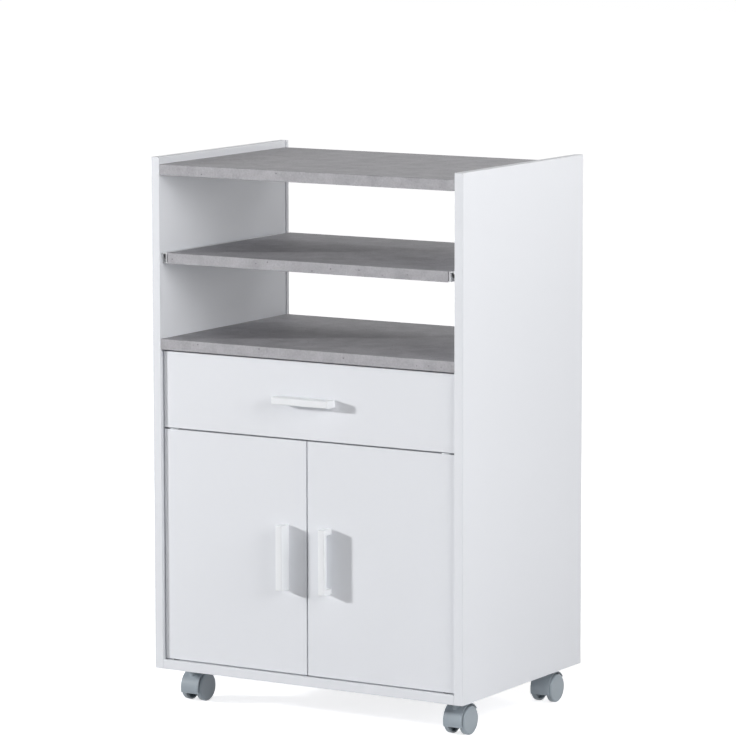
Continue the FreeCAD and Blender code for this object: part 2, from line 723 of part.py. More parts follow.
def sector(front_angle, rear_angle, y, half_width):
    """A prism round the axle from one angle below the top to another, seen along X."""
    far = 3 * wheel_radius
    front, rear = math.radians(front_angle), math.radians(rear_angle)
    outline = [(0, 0), (-far * math.sin(front), far * math.cos(front)), (-far, far), (far, far),
               (far * math.sin(rear), far * math.cos(rear)), (0, 0)]
    points = [V(-half_width, y + a, wheel_radius + b) for a, b in outline]
    return Part.Face(Part.makePolygon(points)).extrude(V(2 * half_width, 0, 0))


def hood(y):
    """The caster's housing at x = 0: a curved band over both wheels, a web and two sockets."""
    def across(radius, half):
        return rod(radius, V(-half, y, wheel_radius), V(half, y, wheel_radius))

    wider = hood_half_width + past
    band = across(hood_radius, hood_half_width).cut(across(hood_inner_radius, wider))
    band = band.common(sector(hood_front_angle, hood_rear_angle, y, wider))
    arcs = [e for e in band.Edges if abs(e.BoundBox.XMax - e.BoundBox.XMin) < 0.01
            and e.BoundBox.ZMax > wheel_radius + hood_radius - 0.01]
    band = band.makeFillet(hood_edge_rounding, arcs)
    web = across(hood_inner_radius + hood_wall / 2, hood_web_half_width).common(
        sector(hood_web_front_angle, hood_web_rear_angle, y, hood_web_half_width))
    hub = across(hood_hub_radius, caster_half_width - wheel_width - face_gap)
    pin_space = king_pin_end - king_end_gap
    socket = rod(hood_socket_radius, V(0, 0, pin_space - hood_socket_floor),
                 V(0, 0, hood_collar_top))
    body = join([band, web, hub, socket])
    return cut(body, [across(axle_radius, caster_half_width),
                      rod(king_pin_radius + running_gap, V(0, 0, pin_space),
                          V(0, 0, hood_collar_top + past))])


def king_pin():
    """The swivel pin at x = y = 0, with its collar under the plate and its riveted end."""
    return join([rod(king_pin_radius, V(0, 0, king_pin_end), V(0, 0, king_collar_z)),
                 rod(king_collar_radius, V(0, 0, king_collar_z), V(0, 0, plate_z)),
                 rod(king_spigot_radius, V(0, 0, plate_z), V(0, 0, panel_z))])


def plate_seats():
    """Seats of the four screws of a plate whose centre is at x = y = 0."""
    half = plate_hole_pitch / 2.0
    return [(V(x, y, plate_z), V(0, 0, 1)) for x in (-half, half) for y in (-half, half)]


def caster_plate():
    """The steel plate at x = y = 0 that is screwed under the base."""
    half = plate_size / 2.0
    plain = box(-half, half, -half, half, plate_z, panel_z)
    upright = [e for e in plain.Edges if e.BoundBox.ZLength > plate_thickness / 2.0]
    plate = plain.makeFillet(plate_corner, upright)
    return cut(plate, holes_at(plate_seats()) + [rod(king_spigot_radius + fit_gap,
                                                     V(0, 0, plate_z - past),
                                                     V(0, 0, panel_z + past))])


def moved(shape, place):
    """A copy of a shape at another place."""
    copy = shape.copy()
    copy.translate(place)
    return copy


def make_casters():
    """Four casters, their hoods in front of their axles. Returns the base's screw holes."""
    wheels = {"left": wheel(-1, caster_trail), "right": wheel(1, caster_trail)}
    housing, pin, plate = hood(caster_trail), king_pin(), caster_plate()
    reach = caster_half_width - wheel_wall - face_gap
    axle = rod(axle_radius, V(-reach, caster_trail, wheel_radius),
               V(reach, caster_trail, wheel_radius))
    pins, plates, screws, base_holes = [], [], [], []
    for end, y in (("front", front_y + caster_end_inset), ("rear", rear_y - caster_end_inset)):
        for hand, x in (("left", -stem_x), ("right", stem_x)):
            place = V(x, y, 0)
            name = end + "_" + hand + "_caster"
            keep(name + "_hood", [moved(housing, place)])
            keep(name + "_axle", [moved(axle, place)])
            for which, disc in wheels.items():
                keep(name + "_" + which + "_wheel", [moved(disc, place)])
            pins.append(moved(pin, place))
            plates.append(moved(plate, place))
            screws += [moved(shape, place) for shape in screws_at(plate_seats())]
            base_holes += [moved(shape, place) for shape in holes_at(plate_seats())]
    keep("caster_plates", plates)
    keep("caster_king_pins", pins)
    return base_holes, screws


# ---- the whole cart ----
fitting_holes, fixed_board_holes = make_fittings()
shelf_seats = make_pull_out_shelf()
drawer_seats = make_drawer()
caster_holes, caster_screws = make_casters()
foot_holes, plate_screw_holes, plate_screws = make_pivots()
catch_holes, catch_screws = make_catch()
for door_name, door_side in (("left_door", -1), ("right_door", 1)):
    make_door(door_name, door_side)
back_screws = make_carcass(fitting_holes, fixed_board_holes, shelf_seats + drawer_seats,
                           caster_holes + foot_holes, plate_screw_holes + catch_holes)
keep("carcass_screws", both_sides(screws_at(shelf_seats + drawer_seats)) + plate_screws
     + catch_screws + caster_screws + back_screws)

os.makedirs("parts", exist_ok=True)
for node, shape in nodes.items():
    shape.exportStep("parts/" + node + ".step")
    print(node, len(shape.Solids), "solids", round(shape.Volume / 1000.0, 2), "cm3",
          "valid" if shape.isValid() else "INVALID")
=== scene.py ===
"""Looks of a microwave cart: finishes, driven screws, casters, floor, light and camera."""

import logging
import math
from dataclasses import dataclass, field
from enum import Enum
from functools import cache
from typing import Any

import bmesh
import bpy
from mathutils import Matrix, Vector


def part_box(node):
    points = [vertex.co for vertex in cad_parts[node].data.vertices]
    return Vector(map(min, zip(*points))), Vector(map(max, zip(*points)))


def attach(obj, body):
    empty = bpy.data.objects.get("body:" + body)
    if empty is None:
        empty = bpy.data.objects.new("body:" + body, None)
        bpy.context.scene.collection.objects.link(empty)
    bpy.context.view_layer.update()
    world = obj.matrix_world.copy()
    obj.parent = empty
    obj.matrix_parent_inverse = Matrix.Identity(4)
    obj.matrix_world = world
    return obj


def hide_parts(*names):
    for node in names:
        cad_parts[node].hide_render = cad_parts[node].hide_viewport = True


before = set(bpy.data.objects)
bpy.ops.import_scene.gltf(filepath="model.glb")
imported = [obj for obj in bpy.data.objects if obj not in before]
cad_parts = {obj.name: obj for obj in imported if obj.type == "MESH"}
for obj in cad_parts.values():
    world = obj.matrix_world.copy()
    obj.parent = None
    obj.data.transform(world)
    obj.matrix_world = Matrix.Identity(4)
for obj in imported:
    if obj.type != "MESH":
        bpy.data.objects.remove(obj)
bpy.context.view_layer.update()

LOG = logging.getLogger("microwave_cart")
MM = 0.001  # metres in a millimetre


class End(Enum):
    """Front or rear of the cart."""

    FRONT = "front"
    REAR = "rear"


class Hand(Enum):
    """Side of the cart, or of a caster, seen from the front."""

    LEFT = "left"
    RIGHT = "right"


class Facing(Enum):
    """Way that a sheet's raw face looks: its axis and its sign on that axis."""

    REAR = ("Y", 1)
    DOWN = ("Z", -1)


# ---------------------------------------------------------------- nodes and materials
def linear(code: str) -> tuple[float, float, float, float]:
    """Turn an sRGB hex value into linear light.

    Args:
        code: Colour as "#RRGGBB".

    Returns:
        Red, green, blue and alpha, each from 0 to 1.
    """
    parts = [int(code[i:i + 2], 16) / 255 for i in (1, 3, 5)]
    low, slope, offset, power = 0.04045, 12.92, 0.055, 2.4
    light = [p / slope if p <= low else ((p + offset) / (1 + offset)) ** power for p in parts]
    return (*light, 1.0)


def add_node(tree: bpy.types.NodeTree, kind: str, settings: dict[Any, Any] | None = None,
             links: dict[Any, bpy.types.NodeSocket] | None = None) -> bpy.types.Node:
    """Add a node to a tree with its settings and links.

    Args:
        tree: Shader or geometry tree.
        kind: Node type, such as "ShaderNodeMath".
        settings: Property or input (by name or index) to its value.
        links: Input (by name or index) to the output that feeds it.

    Returns:
        The new node.
    """
    new = tree.nodes.new(kind)
    settings = settings or {}
    for key, value in settings.items():
        if isinstance(key, str) and hasattr(new, key):
            setattr(new, key, value)
    for key, value in settings.items():
        if isinstance(key, int) or not hasattr(new, key):
            new.inputs[key].default_value = value
    for key, source in (links or {}).items():
        tree.links.new(source, new.inputs[key])
    return new


def shader_tree(name: str) -> tuple[bpy.types.Material, bpy.types.NodeTree]:
    """Start a material.

    Args:
        name: The material's name.

    Returns:
        The material and its emptied tree.
    """
    material = bpy.data.materials.new(name)
    material.use_nodes = True
    material.node_tree.nodes.clear()
    return material, material.node_tree


def finish_tree(tree: bpy.types.NodeTree, surface: bpy.types.Node) -> None:
    """Link a shader to the material's output.

    Args:
        tree: The material's tree.
        surface: The node with the shader as its first output.
    """
    add_node(tree, "ShaderNodeOutputMaterial", links={"Surface": surface.outputs[0]})


def place_of(tree: bpy.types.NodeTree) -> bpy.types.NodeSocket:
    """Give the Object coordinates, which are metres in the cart's own frame."""
    return add_node(tree, "ShaderNodeTexCoord").outputs["Object"]


@dataclass(frozen=True)
class WhiteMelamine:
    """Melamine-faced chipboard: resin-pressed paper, satin, very slightly pearled.

    The eye sees an even cool white with a soft, wide highlight, and a hair-thin
    joint line where the glued edge band meets the face.
    """

    name: str = "white melamine-faced chipboard"
    colour: str = "#E8EAEE"
    joint: str = "#C9CCD1"
    roughness: float = 0.42
    ior: float = 1.5
    pearl_mm: float = 1.6  # real pearl is near 0.4 mm, too fine to show
    pearl_height_mm: float = 0.004
    band_mm: float = 0.8
    line_mm: float = 0.25

    def build(self, front: float | None = None) -> bpy.types.Material:
        """Make the material for one board.

        Args:
            front: Y of the board's banded front edge in metres, or None for no band.

        Returns:
            The material.
        """
        material, tree = shader_tree(self.name)
        place = place_of(tree)
        colour = banded_colour(tree, place, linear(self.colour), linear(self.joint), front,
                               self.band_mm, self.line_mm)
        pearl = add_node(tree, "ShaderNodeTexNoise", {"Scale": 1 / (self.pearl_mm * MM),
                                                      "Detail": 1.0}, {"Vector": place})
        bump = add_node(tree, "ShaderNodeBump", {"Strength": 1.0,
                                                 "Distance": self.pearl_height_mm * MM},
                        {"Height": pearl.outputs["Fac"]})
        board = add_node(tree, "ShaderNodeBsdfPrincipled",
                         {"Roughness": self.roughness, "IOR": self.ior,
                          "Base Color": linear(self.colour)}, {"Normal": bump.outputs[0]})
        if colour is not None:
            tree.links.new(colour, board.inputs["Base Color"])
        finish_tree(tree, board)
        return material


def banded_colour(tree: bpy.types.NodeTree, place: bpy.types.NodeSocket,
                  face: tuple[float, float, float, float] | bpy.types.NodeSocket,
                  joint: tuple[float, float, float, float], front: float | None,
                  band_mm: float, line_mm: float) -> bpy.types.NodeSocket | None:
    """Draw the joint line of an edge band over a board's colour.

    Args:
        tree: The material's tree.
        place: Object coordinates.
        face: The board's colour, plain or as a socket.
        joint: Colour of the line.
        front: Y of the banded edge in metres, or None.
        band_mm: Thickness of the band.
        line_mm: Width of the line.

    Returns:
        The colour socket, or None where nothing is drawn over a plain colour.
    """
    if front is None:
        return None if isinstance(face, tuple) else face
    depth = add_node(tree, "ShaderNodeSeparateXYZ", links={0: place}).outputs["Y"]
    line = add_node(tree, "ShaderNodeMath", {"operation": "COMPARE", 1: front + band_mm * MM,
                                             2: line_mm * MM / 2}, {0: depth})
    settings: dict[Any, Any] = {"data_type": "RGBA", 7: joint}
    links = {0: line.outputs[0]}
    if isinstance(face, tuple):
        settings[6] = face
    else:
        links[6] = face
    return add_node(tree, "ShaderNodeMix", settings, links).outputs[2]


@dataclass(frozen=True)
class CementMelamine:
    """Melamine-faced chipboard with a printed cement look, matt.

    The eye sees a mid grey with soft clouds a few centimetres wide, a fine grain
    and a few darker pits.
    """

    name: str = "cement-grey melamine-faced chipboard"
    light: str = "#B0AFB3"
    dark: str = "#99989C"
    pit: str = "#76757A"
    joint: str = "#828185"
    roughness: float = 0.6
    ior: float = 1.5
    cloud_mm: float = 38.0
    cloud_octaves: float = 5.0
    cloud_roughness: float = 0.6  # strength of each finer octave
    cloud_low: float = 0.6  # noise value at which the colour is all dark
    cloud_high: float = 0.95  # and all light
    grain_mm: float = 3.2  # drawn coarser than the print's 1 mm, so that it shows
    grain_octaves: float = 2.0
    grain_share: float = 0.55  # of the grain, added to the clouds
    grain_height_mm: float = 0.01
    pit_mm: float = 14.0  # mean distance between pits
    pit_size: float = 0.075  # a pit's radius as a share of that distance
    pit_blur: float = 1.6  # the pit's faded rim, times that radius
    band_mm: float = 0.8
    line_mm: float = 0.25

    def build(self, front: float | None = None) -> bpy.types.Material:
        """Make the material for one board.

        Args:
            front: Y of the board's banded front edge in metres, or None for no band.

        Returns:
            The material.
        """
        material, tree = shader_tree(self.name)
        place = place_of(tree)
        clouds = add_node(tree, "ShaderNodeTexNoise",
                          {"Scale": 1 / (self.cloud_mm * MM), "Detail": self.cloud_octaves,
                           "Roughness": self.cloud_roughness}, {"Vector": place})
        grain = add_node(tree, "ShaderNodeTexNoise", {"Scale": 1 / (self.grain_mm * MM),
                                                      "Detail": self.grain_octaves},
                         {"Vector": place})
        both = add_node(tree, "ShaderNodeMath",
                        {"operation": "MULTIPLY_ADD", 1: self.grain_share},
                        {0: grain.outputs["Fac"], 2: clouds.outputs["Fac"]})
        spread = add_node(tree, "ShaderNodeMapRange",
                          {"From Min": self.cloud_low, "From Max": self.cloud_high},
                          {"Value": both.outputs[0]})
        stone = add_node(tree, "ShaderNodeMix", {"data_type": "RGBA", 6: linear(self.dark),
                                                 7: linear(self.light)},
                         {0: spread.outputs[0]})
        cells = add_node(tree, "ShaderNodeTexVoronoi", {"Scale": 1 / (self.pit_mm * MM)},
                         {"Vector": place})
        pits = add_node(tree, "ShaderNodeMapRange", {"From Min": self.pit_size,
                                                     "From Max": self.pit_size * self.pit_blur,
                                                     "To Min": 1.0, "To Max": 0.0},
                        {"Value": cells.outputs["Distance"]})
        pitted = add_node(tree, "ShaderNodeMix", {"data_type": "RGBA", 7: linear(self.pit)},
                          {0: pits.outputs[0], 6: stone.outputs[2]})
        colour = banded_colour(tree, place, pitted.outputs[2], linear(self.joint), front,
                               self.band_mm, self.line_mm)
        bump = add_node(tree, "ShaderNodeBump", {"Strength": 1.0,
                                                 "Distance": self.grain_height_mm * MM},
                        {"Height": grain.outputs["Fac"]})
        board = add_node(tree, "ShaderNodeBsdfPrincipled",
                         {"Roughness": self.roughness, "IOR": self.ior},
                         {"Base Color": colour, "Normal": bump.outputs[0]})
        finish_tree(tree, board)
        return material


@dataclass(frozen=True)
class MouldedPlastic:
    """Injection-moulded plastic: an even colour under a fine spark-eroded grain."""

    name: str
    colour: str
    roughness: float
    ior: float
    grain_mm: float = 1.2  # drawn coarser than the mould's 0.2 mm, so that it shows
    grain_height_mm: float = 0.006

    def build(self) -> bpy.types.Material:
        """Make the material."""
        material, tree = shader_tree(self.name)
        grain = add_node(tree, "ShaderNodeTexNoise", {"Scale": 1 / (self.grain_mm * MM),
                                                      "Detail": 1.0}, {"Vector": place_of(tree)})
        bump = add_node(tree, "ShaderNodeBump", {"Strength": 1.0,
                                                 "Distance": self.grain_height_mm * MM},
                        {"Height": grain.outputs["Fac"]})
        plastic = add_node(tree, "ShaderNodeBsdfPrincipled",
                           {"Base Color": linear(self.colour), "Roughness": self.roughness,
                            "IOR": self.ior}, {"Normal": bump.outputs[0]})
        finish_tree(tree, plastic)
        return material


@dataclass(frozen=True)
class ZincPlate:
    """Bright zinc-plated steel: a pale metal with a soft, slightly cloudy sheen."""

    name: str = "bright zinc-plated steel"
    colour: str = "#C6C9CC"
    smooth: float = 0.24
    rough: float = 0.42
    cloud_mm: float = 6.0

    def build(self) -> bpy.types.Material:
        """Make the material."""
        material, tree = shader_tree(self.name)
        clouds = add_node(tree, "ShaderNodeTexNoise", {"Scale": 1 / (self.cloud_mm * MM)},
                          {"Vector": place_of(tree)})
        sheen = add_node(tree, "ShaderNodeMapRange", {"To Min": self.smooth, "To Max": self.rough},
                         {"Value": clouds.outputs["Fac"]})
        metal = add_node(tree, "ShaderNodeBsdfPrincipled",
                         {"Base Color": linear(self.colour), "Metallic": 1.0},
                         {"Roughness": sheen.outputs[0]})
        finish_tree(tree, metal)
        return material


@dataclass(frozen=True)
class PowderCoat:
    """Powder-coated steel: an even white with a faint orange-peel ripple."""

    name: str = "white powder-coated steel"
    colour: str = "#E4E5E7"
    roughness: float = 0.35
    ior: float = 1.5
    ripple_mm: float = 2.0
    ripple_height_mm: float = 0.012

    def build(self) -> bpy.types.Material:
        """Make the material."""
        material, tree = shader_tree(self.name)
        peel = add_node(tree, "ShaderNodeTexNoise", {"Scale": 1 / (self.ripple_mm * MM)},
                        {"Vector": place_of(tree)})
        bump = add_node(tree, "ShaderNodeBump", {"Strength": 1.0,
                                                 "Distance": self.ripple_height_mm * MM},
                        {"Height": peel.outputs["Fac"]})
        coat = add_node(tree, "ShaderNodeBsdfPrincipled",
                        {"Base Color": linear(self.colour), "Roughness": self.roughness,
                         "IOR": self.ior}, {"Normal": bump.outputs[0]})
        finish_tree(tree, coat)
        return material


@dataclass(frozen=True)
class Beech:
    """Turned beech dowel: warm pale wood with fine darker flecks along its length."""

    name: str = "turned beech"
    light: str = "#D9B98F"
    dark: str = "#B98F62"
    roughness: float = 0.65
    ior: float = 1.5
    fleck_mm: float = 1.0
    fleck_octaves: float = 3.0
    fleck_length: float = 8.0  # times its width

    def build(self) -> bpy.types.Material:
        """Make the material."""
        material, tree = shader_tree(self.name)
        along = add_node(tree, "ShaderNodeMapping",
                         {"Scale": (1 / self.fleck_length, 1, 1)}, {"Vector": place_of(tree)})
        flecks = add_node(tree, "ShaderNodeTexNoise", {"Scale": 1 / (self.fleck_mm * MM),
                                                       "Detail": self.fleck_octaves},
                          {"Vector": along.outputs[0]})
        wood = add_node(tree, "ShaderNodeMix", {"data_type": "RGBA", 6: linear(self.light),
                                                7: linear(self.dark)},
                        {0: flecks.outputs["Fac"]})
        surface = add_node(tree, "ShaderNodeBsdfPrincipled",
                           {"Roughness": self.roughness, "IOR": self.ior},
                           {"Base Color": wood.outputs[2]})
        finish_tree(tree, surface)
        return material


@dataclass(frozen=True)
class Hardboard:
    """Wet-process hardboard: a white painted face, and a raw brown back with a screen weave."""

    name: str = "white-faced hardboard"
    paint: str = "#E6E8EB"
    raw: str = "#8A6A4B"
    raw_dark: str = "#735538"
    roughness: float = 0.55
    ior: float = 1.5
    screen_mm: float = 3.0  # the mesh print is about 1.3 mm, drawn coarser so that it shows
    screen_height_mm: float = 0.15
    fibre_mm: float = 9.0
    fibre_octaves: float = 6.0
    skin_mm: float = 0.3

    def build(self, facing: Facing, raw_face: float) -> bpy.types.Material:
        """Make the material for one sheet.

        Args:
            facing: Way that the raw face looks.
            raw_face: Place of the raw face along that axis, in metres.

        Returns:
            The material.
        """
        material, tree = shader_tree(self.name)
        place = place_of(tree)
        axis, sign = facing.value
        level = add_node(tree, "ShaderNodeSeparateXYZ", links={0: place}).outputs[axis]
        side = add_node(tree, "ShaderNodeMath",
                        {"operation": "GREATER_THAN" if sign > 0 else "LESS_THAN",
                         1: raw_face - sign * self.skin_mm * MM}, {0: level})
        fibres = add_node(tree, "ShaderNodeTexNoise", {"Scale": 1 / (self.fibre_mm * MM),
                                                       "Detail": self.fibre_octaves},
                          {"Vector": place})
        brown = add_node(tree, "ShaderNodeMix", {"data_type": "RGBA", 6: linear(self.raw_dark),
                                                 7: linear(self.raw)},
                         {0: fibres.outputs["Fac"]})
        colour = add_node(tree, "ShaderNodeMix", {"data_type": "RGBA", 6: linear(self.paint)},
                          {0: side.outputs[0], 7: brown.outputs[2]})
        screen = add_node(tree, "ShaderNodeTexVoronoi", {"Scale": 1 / (self.screen_mm * MM),
                                                         "Randomness": 0.0}, {"Vector": place})
        depth = add_node(tree, "ShaderNodeMath", {"operation": "MULTIPLY"},
                         {0: screen.outputs["Distance"], 1: side.outputs[0]})
        bump = add_node(tree, "ShaderNodeBump", {"Strength": 1.0,
                                                 "Distance": self.screen_height_mm * MM},
                        {"Height": depth.outputs[0]})
        sheet = add_node(tree, "ShaderNodeBsdfPrincipled",
                         {"Roughness": self.roughness, "IOR": self.ior},
                         {"Base Color": colour.outputs[2], "Normal": bump.outputs[0]})
        finish_tree(tree, sheet)
        return material


WHITE_BOARD = WhiteMelamine()
CEMENT_BOARD = CementMelamine()
# acrylonitrile butadiene styrene, moulded: a clean white, a little glossier than the boards
HANDLE_PLASTIC = MouldedPlastic("white moulded handle plastic", "#F0F2F4", 0.34, 1.53)
# polyamide, moulded: blue-grey, satin, with a broad soft highlight on the rims
CASTER_PLASTIC = MouldedPlastic("blue-grey moulded nylon", "#9AA4AB", 0.42, 1.53)
# polyamide, moulded: milky white, satin
CATCH_PLASTIC = MouldedPlastic("white moulded nylon", "#E9E8E4", 0.4, 1.53)
# polyamide, moulded and blackened: near black, satin; the black is painted shade, so that rollers
# and bushes look like the shaded gaps of the runner channels and pivot holes
SHADE_BLACK_NYLON = MouldedPlastic("black moulded nylon as painted gap shade", "#2C2D30", 0.45, 1.53)
ZINC = ZincPlate()
POWDER = PowderCoat()
BEECH = Beech()
HARDBOARD = Hardboard()


@cache
def material_of(finish: Any, *details: Any) -> bpy.types.Material:
    """Make a finish's material once and give the same one again after that.

    Args:
        finish: One of the finishes above.
        details: What its build method takes.

    Returns:
        The material.
    """
    return finish.build(*details)


def dress(node: str, finish: Any, *details: Any) -> None:
    """Give a CAD node one finish.

    Args:
        node: The node's name.
        finish: One of the finishes above.
        details: What the finish's build method takes.
    """
    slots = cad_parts[node].data.materials
    slots.clear()
    slots.append(material_of(finish, *details))


def banded(node: str, finish: Any) -> None:
    """Give a board a finish whose edge band lies at the board's front."""
    dress(node, finish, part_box(node)[0].y)


# ---------------------------------------------------------------- geometry trees
def socket_id(tree: bpy.types.NodeTree, name: str) -> str:
    """Find an input's identifier by its name.

    Args:
        tree: A geometry tree.
        name: The input's name.

    Returns:
        The identifier that a modifier uses.
    """
    return next(item.identifier for item in tree.interface.items_tree
                if item.item_type == "SOCKET" and item.in_out == "INPUT" and item.name == name)


def geometry_tree(name: str, sizes: dict[str, float]) -> tuple[bpy.types.NodeTree, bpy.types.Node]:
    """Start a geometry tree with a mesh input, a material input and named sizes.

    Args:
        name: The tree's name.
        sizes: Input name to its default.

    Returns:
        The tree and its Group Input node.
    """
    tree = bpy.data.node_groups.new(name, "GeometryNodeTree")
    tree.interface.new_socket("Geometry", in_out="INPUT", socket_type="NodeSocketGeometry")
    tree.interface.new_socket("Geometry", in_out="OUTPUT", socket_type="NodeSocketGeometry")
    for title, value in sizes.items():
        item = tree.interface.new_socket(title, in_out="INPUT", socket_type="NodeSocketFloat")
        item.default_value = value
    tree.interface.new_socket("Material", in_out="INPUT", socket_type="NodeSocketMaterial")
    return tree, tree.nodes.new("NodeGroupInput")


def close_tree(tree: bpy.types.NodeTree, given: bpy.types.Node,
               geometry: bpy.types.NodeSocket) -> None:
    """End a tree: realise its instances and set the material.

    Args:
        tree: The geometry tree.
        given: Its Group Input node.
        geometry: What has been built.
    """
    real = add_node(tree, "GeometryNodeRealizeInstances", links={0: geometry})
    done = add_node(tree, "GeometryNodeSetMaterial",
                    links={"Geometry": real.outputs[0], "Material": given.outputs["Material"]})
    add_node(tree, "NodeGroupOutput", links={0: done.outputs[0]})


def grow(name: str, tree: bpy.types.NodeTree, base: bpy.types.Mesh, values: dict[str, float],
         material: bpy.types.Material) -> bpy.types.Object:
    """Run a geometry tree on a mesh and keep the result as a plain mesh.

    Args:
        name: Name of the piece.
        tree: The geometry tree.
        base: Mesh that the tree starts from.
        values: Input name to its value.
        material: The piece's material.

    Returns:
        An object at the origin with the finished mesh.
    """
    seed = bpy.data.objects.new(name + " seed", base)
    bpy.context.scene.collection.objects.link(seed)
    modifier = seed.modifiers.new("grow", "NODES")
    modifier.node_group = tree
    for title, value in values.items():
        modifier[socket_id(tree, title)] = value
    modifier[socket_id(tree, "Material")] = material
    bpy.context.view_layer.update()
    seen = seed.evaluated_get(bpy.context.evaluated_depsgraph_get())
    mesh = bpy.data.meshes.new_from_object(seen)
    seed.modifiers.remove(modifier)
    bpy.data.objects.remove(seed)
    mesh.name = name
    piece = bpy.data.objects.new(name, mesh)
    bpy.context.scene.collection.objects.link(piece)
    return piece


def point_mesh(name: str, places: list[Vector], ways: list[Vector]) -> bpy.types.Mesh:
    """Make loose points, each with a direction, for a tree to stand its copies on.

    Args:
        name: Name of the mesh.
        places: Where the points lie.
        ways: The direction at each point, stored as attribute "way".

    Returns:
        The mesh.
    """
    mesh = bpy.data.meshes.new(name)
    mesh.from_pydata([tuple(p) for p in places], [], [])
    way = mesh.attributes.new("way", "FLOAT_VECTOR", "POINT")
    way.data.foreach_set("vector", [value for w in ways for value in w])
    return mesh


@dataclass
class ScrewTree:
    """Pan-head screws with a cross recess, one on each point, tip along the point's way."""

    name: str = "pan-head screw"
    sides: int = 20
    bar_reach: float = 1.15  # length of a recess bar, times the head's radius

    def build(self) -> bpy.types.NodeTree:
        """Make the tree.

        Returns:
            The geometry tree.
        """
        sizes = {"Head Radius": 3.2 * MM, "Head Height": 0.8 * MM, "Shank Radius": 1.75 * MM,
                 "Length": 12 * MM, "Recess Width": 0.9 * MM, "Recess Depth": 0.5 * MM}
        tree, given = geometry_tree(self.name, sizes)
        size = given.outputs
        head = self.disc(tree, size["Head Radius"], size["Head Height"], -0.5)
        shank = self.disc(tree, size["Shank Radius"], size["Length"], 0.5)
        body = add_node(tree, "GeometryNodeMeshBoolean", {"operation": "UNION"})
        tree.links.new(head, body.inputs[1])
        tree.links.new(shank, body.inputs[1])
        cross = [self.bar(tree, size, turned) for turned in (False, True)]
        cut = add_node(tree, "GeometryNodeMeshBoolean", {"operation": "DIFFERENCE"},
                       {0: body.outputs[0]})
        for bar in cross:
            tree.links.new(bar, cut.inputs[1])
        way = add_node(tree, "GeometryNodeInputNamedAttribute",
                       {"data_type": "FLOAT_VECTOR", "Name": "way"})
        turn = add_node(tree, "FunctionNodeAlignRotationToVector", {"axis": "Z"},
                        {"Vector": way.outputs[0]})
        copies = add_node(tree, "GeometryNodeInstanceOnPoints",
                          links={"Points": size["Geometry"], "Instance": cut.outputs[0],
                                 "Rotation": turn.outputs[0]})
        close_tree(tree, given, copies.outputs[0])
        return tree

    def disc(self, tree: bpy.types.NodeTree, radius: bpy.types.NodeSocket,
             height: bpy.types.NodeSocket, share: float) -> bpy.types.NodeSocket:
        """Add a cylinder that starts at the seat.

        Args:
            tree: The geometry tree.
            radius: Its radius.
            height: Its height.
            share: -0.5 to stand behind the seat, 0.5 to run on from it.

        Returns:
            The cylinder's geometry.
        """
        solid = add_node(tree, "GeometryNodeMeshCylinder", {"Vertices": self.sides},
                         {"Radius": radius, "Depth": height})
        middle = add_node(tree, "ShaderNodeMath", {"operation": "MULTIPLY", 1: share}, {0: height})
        shift = add_node(tree, "ShaderNodeCombineXYZ", links={"Z": middle.outputs[0]})
        return add_node(tree, "GeometryNodeTransform", links={
            "Geometry": solid.outputs["Mesh"], "Translation": shift.outputs[0]}).outputs[0]

    def bar(self, tree: bpy.types.NodeTree, size: Any, turned: bool) -> bpy.types.NodeSocket:
        """Add one bar of the cross that is cut into the head.

        Args:
            tree: The geometry tree.
            size: The Group Input's outputs.
            turned: True for the bar that lies across the first.

        Returns:
            The bar's geometry.
        """
        long = add_node(tree, "ShaderNodeMath", {"operation": "MULTIPLY", 1: self.bar_reach},
                        {0: size["Head Radius"]})
        deep = add_node(tree, "ShaderNodeMath", {"operation": "MULTIPLY", 1: 2.0},
                        {0: size["Recess Depth"]})
        ends = (long.outputs[0], size["Recess Width"])
        span = add_node(tree, "ShaderNodeCombineXYZ", links={
            "X": ends[1 if turned else 0], "Y": ends[0 if turned else 1], "Z": deep.outputs[0]})
        bar = add_node(tree, "GeometryNodeMeshCube", links={"Size": span.outputs[0]})
        top = add_node(tree, "ShaderNodeMath", {"operation": "MULTIPLY", 1: -1.0},
                       {0: size["Head Height"]})
        shift = add_node(tree, "ShaderNodeCombineXYZ", links={"Z": top.outputs[0]})
        return add_node(tree, "GeometryNodeTransform", links={
            "Geometry": bar.outputs["Mesh"], "Translation": shift.outputs[0]}).outputs[0]


